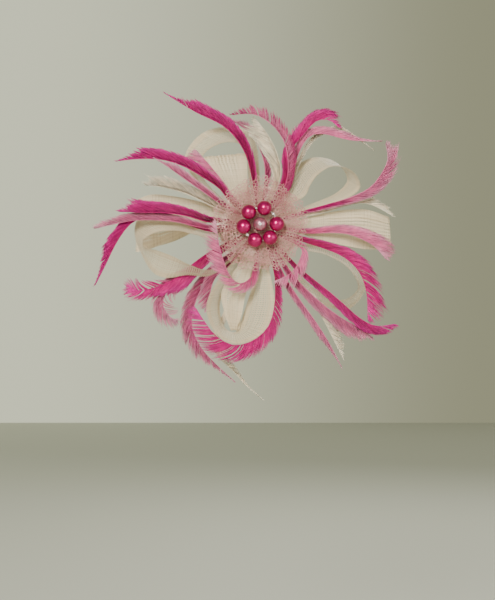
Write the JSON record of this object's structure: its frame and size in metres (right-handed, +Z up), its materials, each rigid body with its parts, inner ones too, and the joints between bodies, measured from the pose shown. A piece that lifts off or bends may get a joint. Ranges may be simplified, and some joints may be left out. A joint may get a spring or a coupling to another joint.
{
  "type": "fascinator headpiece",
  "caption": "Fascinator headpiece: feathers and open-weave ribbon loops round a net rosette with a bead flower, on a covered disc with a sprung hair clip.",
  "frame": {"origin": "The middle of the shut hair clip's grip, between its two arms, on the bead flower's own axis.", "axes": "+X is across the wearer's head, to the right when the headpiece is looked at from its front. +Z is up. -Y is the way the flower faces, away from the head, so +Y is into the head."},
  "size_m": [0.1689, 0.0416, 0.1714],
  "materials": {
    "fuchsia_feather": "dyed feather, deep fuchsia",
    "pink_feather": "dyed feather, dusty pink with paler edges",
    "cream_feather": "natural ivory feather",
    "ribbon": "stiffened open-weave ribbon, ivory",
    "net": "fine stiff net, pale dusty pink",
    "base_cover": "woven cover over a stiffened disc, ivory",
    "felt": "wool felt, ivory",
    "thread": "wound cotton thread, off-white",
    "steel": "nickel-plated sheet steel",
    "beading_wire": "fine plated wire",
    "pearl_fuchsia": "pearl-coated bead, deep fuchsia",
    "pearl_mauve": "pearl-coated bead, mauve",
    "spacer_bead": "small clear-white seed bead"
  },
  "bodies": {
    "headpiece": {"base_disc": "base_cover", "base_edge_binding": "base_cover", "felt_backing": "felt", "clip_top_arm": "steel", "clip_hinge_pin": "steel", "clip_spring": "steel", "clip_stitches": "thread", "ribbon_gather": "ribbon", "stem_binding": "thread", "net_back_layer": "net", "net_front_layer": "net", "pearl_ring": "pearl_fuchsia", "centre_pearl": "pearl_mauve", "pearl_wire": "beading_wire", "centre_pin": "beading_wire", "spacer_beads": "spacer_bead", "loop_top_left_tall": "ribbon", "loop_top_left_front": "ribbon", "loop_top_right": "ribbon", "loop_left_front": "ribbon", "loop_left_back": "ribbon", "loop_bottom": "ribbon", "loop_bottom_inner": "ribbon", "loop_lower_right": "ribbon", "loop_right": "ribbon", "fuchsia_feather_top_left": "fuchsia_feather", "fuchsia_feather_top_right": "fuchsia_feather", "fuchsia_feather_right_arc": "fuchsia_feather", "fuchsia_feather_lower_right": "fuchsia_feather", "fuchsia_feather_bottom_hook": "fuchsia_feather", "fuchsia_feather_lower_left": "fuchsia_feather", "fuchsia_feather_upper_left": "fuchsia_feather", "fuchsia_feather_left": "fuchsia_feather", "fuchsia_feather_left_droop": "fuchsia_feather", "pink_feather_top_arch": "pink_feather", "pink_feather_top_short": "pink_feather", "pink_feather_top_right_long": "pink_feather", "pink_feather_top_right_short": "pink_feather", "pink_feather_right_raised": "pink_feather", "pink_feather_right": "pink_feather", "pink_feather_lower_right": "pink_feather", "pink_feather_down_right": "pink_feather", "pink_feather_front_hook": "pink_feather", "pink_feather_lower_left": "pink_feather", "pink_feather_bottom_long": "pink_feather", "pink_feather_bottom_short": "pink_feather", "pink_feather_upper_left": "pink_feather", "pink_feather_upper_left_broad": "pink_feather", "pink_feather_left": "pink_feather", "pink_feather_under_net": "pink_feather", "cream_feather_top": "cream_feather", "cream_feather_top_right": "cream_feather", "cream_feather_right": "cream_feather", "cream_feather_down_right": "cream_feather", "cream_feather_bottom_long": "cream_feather", "cream_feather_left": "cream_feather"},
    "clip_lower_arm": {"clip_lower_arm": "steel"}
  },
  "joints": [
    {"name": "clip_hinge", "type": "hinge", "parent": "headpiece", "child": "clip_lower_arm", "pos_m": [0.014, 0.0004, 0], "axis": [0, 0, -1], "range_deg": [0, 32], "stiffness_Nm_per_rad": 0.02, "springref_deg": -20.05}
  ]
}
